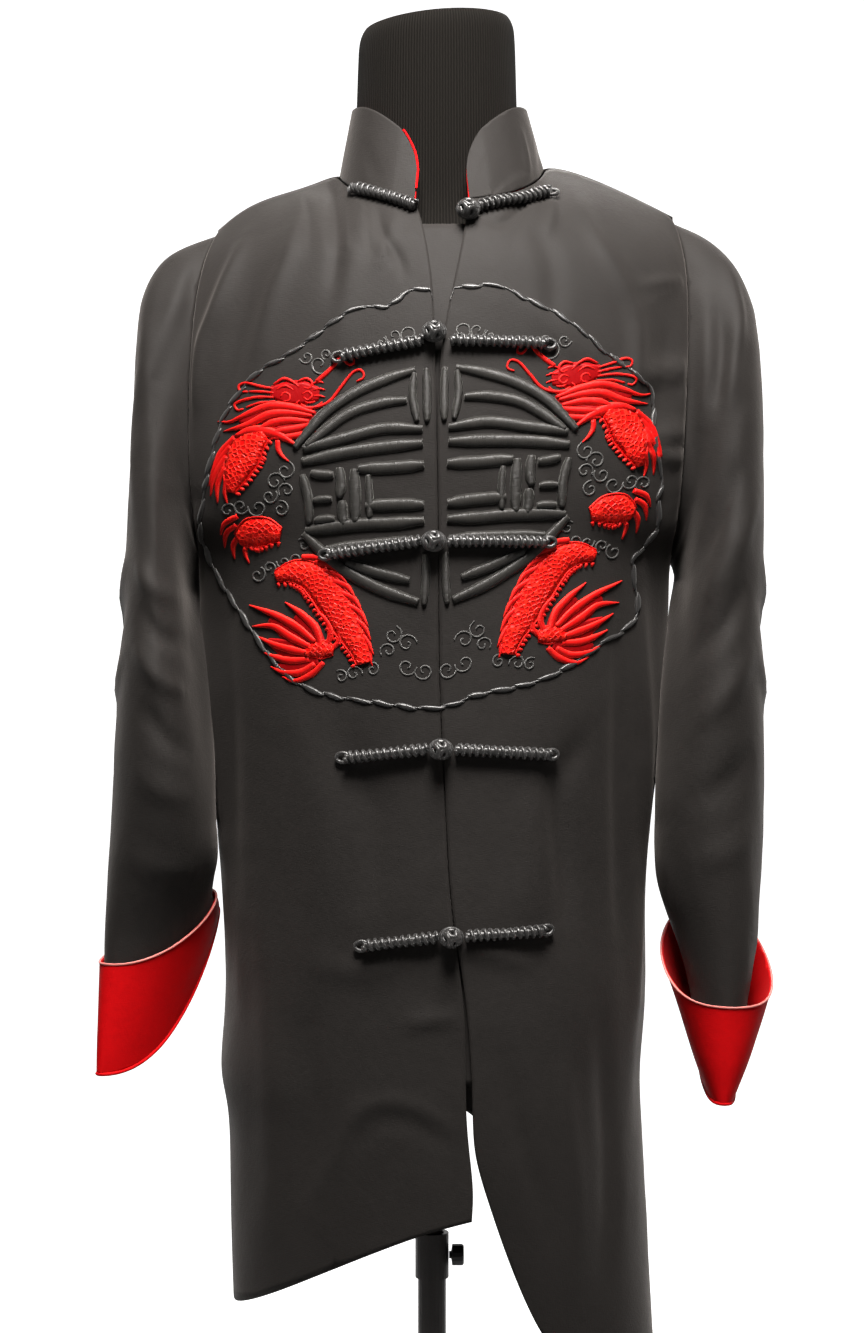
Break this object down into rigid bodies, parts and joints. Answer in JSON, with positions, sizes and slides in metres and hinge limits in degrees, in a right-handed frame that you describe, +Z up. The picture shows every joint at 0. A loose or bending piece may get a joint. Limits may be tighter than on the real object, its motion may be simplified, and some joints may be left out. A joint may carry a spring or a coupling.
{
  "type": "tang jacket on a dress form",
  "caption": "Black tang jacket with stand collar, frog closures, embroidered roundel and turned-back red cuffs, worn by a limbless dress form on an adjustable stand.",
  "frame": {"origin": "centre of the flat underside of the stand's round base", "axes": "+Z up along the pole; -Y is the jacket's front; +X is the wearer's left"},
  "size_m": [0.4939, 0.34, 1.5156],
  "materials": {
    "black_cloth": "fine black peach-skin twill with a soft sheen",
    "red_cloth": "plain-woven deep red lining cloth",
    "satin_cord": "glossy black satin rouleau cord and embroidery",
    "red_embroidery": "glossy red rayon embroidery thread",
    "black_jersey": "fine ribbed black jersey stretched over foam",
    "stand_metal": "satin black powder coat",
    "black_plastic": "black moulded plastic"
  },
  "bodies": {
    "stand": {"base": "stand_metal", "outer_tube": "stand_metal", "clamp_ring": "stand_metal"},
    "knob": {"clamp_knob": "black_plastic"},
    "pole": {"pole": "stand_metal"},
    "form": {"pole_socket": "black_plastic", "dress_form": "black_jersey", "front_right": "black_cloth", "front_left": "black_cloth", "back": "black_cloth", "sleeve_right": "black_cloth", "sleeve_left": "black_cloth", "cuff_right": "red_cloth", "cuff_left": "red_cloth", "collar": "black_cloth", "collar_lining": "red_cloth", "underlap": "black_cloth", "frog_1_loop": "satin_cord", "frog_1_stem": "satin_cord", "frog_1_knot": "satin_cord", "frog_2_loop": "satin_cord", "frog_2_stem": "satin_cord", "frog_2_knot": "satin_cord", "frog_3_loop": "satin_cord", "frog_3_stem": "satin_cord", "frog_3_knot": "satin_cord", "frog_4_loop": "satin_cord", "frog_4_stem": "satin_cord", "frog_4_knot": "satin_cord", "frog_5_loop": "satin_cord", "frog_5_stem": "satin_cord", "frog_5_knot": "satin_cord"}
  },
  "joints": [
    {"name": "clamp_knob_turn", "type": "hinge", "parent": "stand", "child": "knob", "pos_m": [0.0128, 0, 0.59], "axis": [1, 0, 0], "range_deg": [0, 270]},
    {"name": "height_slide", "type": "slide", "parent": "stand", "child": "pole", "axis": [0, 0, 1], "range_m": [-0.12, 0.15]},
    {"name": "form_swivel", "type": "hinge", "parent": "pole", "child": "form", "pos_m": [0, 0, 0.767], "axis": [0, 0, 1], "continuous": true}
  ]
}
